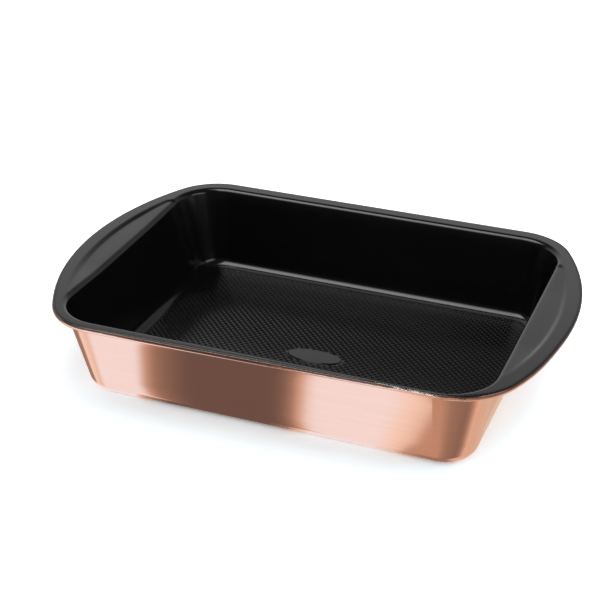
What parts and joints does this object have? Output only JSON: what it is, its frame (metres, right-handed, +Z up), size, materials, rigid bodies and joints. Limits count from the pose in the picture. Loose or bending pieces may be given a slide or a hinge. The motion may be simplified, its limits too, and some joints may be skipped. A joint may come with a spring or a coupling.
{
  "type": "roasting pan",
  "caption": "Deep rectangular roasting pan with round corners, tapered walls, a rolled rim and an integral wing handle with a sunk grip panel at each end.",
  "frame": {"origin": "under the middle of the pan, on the surface that it stands on", "axes": "+X towards the right-hand wing handle, -Y towards the front, +Z up towards the rim"},
  "size_m": [0.417, 0.286, 0.071],
  "materials": {
    "steel_sheet": "bare cold rolled sheet, seen only at the edge of the rolled rim",
    "charcoal_lining": "satin charcoal non-stick coating, with a fine raised diamond grid on the floor",
    "copper_tone_coat": "glossy copper-tone metallic coat over steel brushed along its length"
  },
  "bodies": {
    "root": {"steel_body": "steel_sheet", "nonstick_lining": "charcoal_lining", "copper_outer_coat": "copper_tone_coat"}
  },
  "joints": []
}
